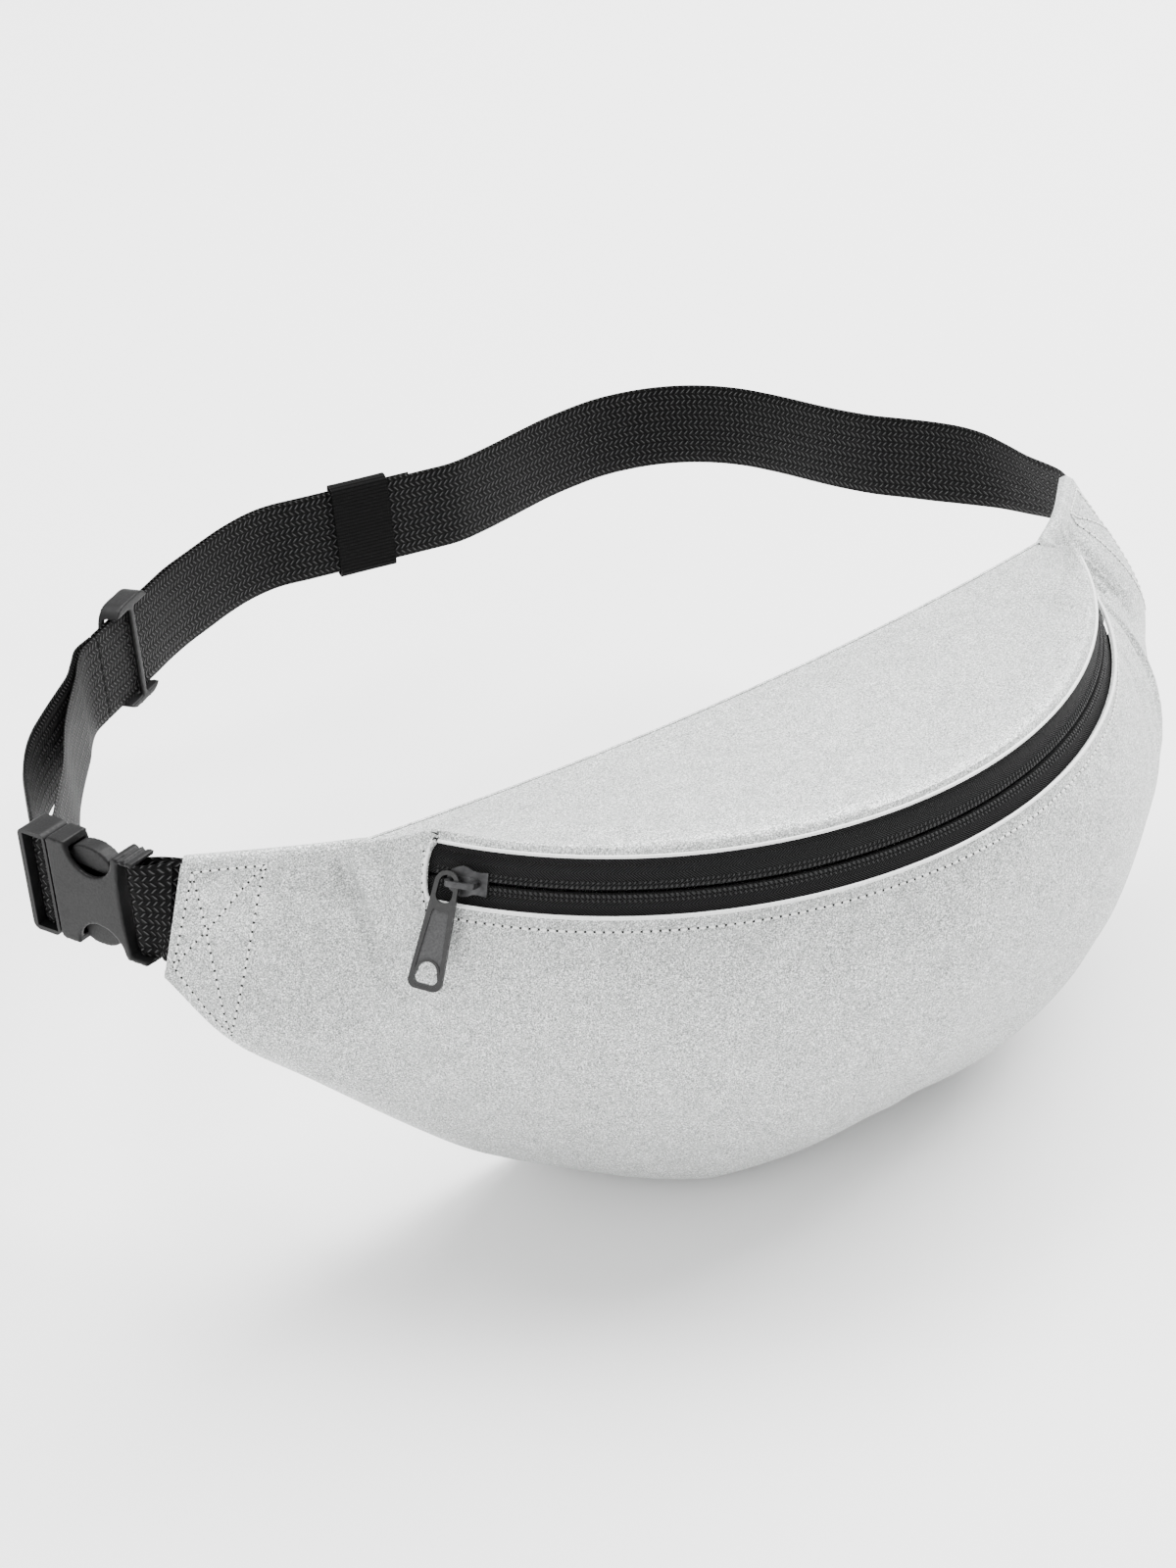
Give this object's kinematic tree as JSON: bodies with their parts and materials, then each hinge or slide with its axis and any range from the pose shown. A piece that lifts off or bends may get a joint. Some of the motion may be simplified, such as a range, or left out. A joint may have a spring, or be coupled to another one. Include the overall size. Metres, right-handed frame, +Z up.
{
  "type": "waist pack",
  "caption": "Crescent waist pack of silver-grey reflective cloth with a curved zip, a webbing belt, a side-release buckle, a strap adjuster and an elastic keeper.",
  "frame": {"origin": "on the flat base, under the middle of the pack", "axes": "+X along the pack to the viewer's right when looking at its front, -Y out of the front panel, +Z up"},
  "size_m": [0.3909, 0.324, 0.1549],
  "materials": {
    "reflective_fabric": "silver-grey coated cloth with a fine sparkle",
    "black_tape": "black herringbone zip tape and coil",
    "black_webbing": "black woven webbing",
    "elastic": "matte black ribbed elastic",
    "black_plastic": "fine textured black plastic",
    "gunmetal": "dark grey coated cast metal"
  },
  "bodies": {
    "pack": {"front_panel": "reflective_fabric", "top_panel": "reflective_fabric", "back_panel": "reflective_fabric", "seam_binding_top": "black_tape", "seam_binding_bottom": "black_tape", "zip_tape_upper": "black_tape", "zip_tape_lower": "black_tape", "zip_coil_upper": "black_tape", "zip_coil_lower": "black_tape", "buckle_webbing": "black_webbing", "buckle_socket": "black_plastic", "waist_strap": "black_webbing", "strap_tail": "black_webbing"},
    "slider": {"zip_slider_body": "gunmetal"},
    "pull": {"zip_pull_tab": "gunmetal"},
    "tongue": {"buckle_tongue": "black_plastic", "strap_loop": "black_webbing"},
    "prong_upper": {"buckle_prong_upper": "black_plastic"},
    "prong_lower": {"buckle_prong_lower": "black_plastic"},
    "adjuster": {"strap_adjuster": "black_plastic"},
    "keeper": {"strap_keeper": "elastic"}
  },
  "joints": [
    {"name": "zip_travel", "type": "hinge", "parent": "pack", "child": "slider", "pos_m": [0, 0.0726, 0.1321], "axis": [0, 0.072, 0.9974], "range_deg": [0, 112]},
    {"name": "pull_swing", "type": "hinge", "parent": "slider", "child": "pull", "pos_m": [-0.12547, -0.00117, 0.13971], "axis": [-0.5119, 0.859, 0.0114], "range_deg": [0, 30]},
    {"name": "buckle_release", "type": "slide", "parent": "pack", "child": "tongue", "axis": [-0.267, 0.9543, -0.1341], "range_m": [0, 0.028], "deforming": ["strap_loop", "buckle_prong_upper", "buckle_prong_lower"]},
    {"name": "prong_upper_flex", "type": "hinge", "parent": "tongue", "child": "prong_upper", "pos_m": [-0.19328, 0.09262, 0.12431], "axis": [0.9637, 0.2644, -0.0372], "range_deg": [0, 11], "stiffness_Nm_per_rad": 0.02},
    {"name": "prong_lower_flex", "type": "hinge", "parent": "tongue", "child": "prong_lower", "pos_m": [-0.19328, 0.08989, 0.1049], "axis": [-0.9637, -0.2644, 0.0372], "range_deg": [0, 11], "stiffness_Nm_per_rad": 0.02},
    {"name": "adjuster_travel", "type": "slide", "parent": "pack", "child": "adjuster", "axis": [-0.86, -0.5053, 0.071], "range_m": [-0.008, 0.008]},
    {"name": "keeper_travel", "type": "slide", "parent": "pack", "child": "keeper", "axis": [-0.9642, 0.2626, -0.0369], "range_m": [-0.01, 0.01]}
  ]
}
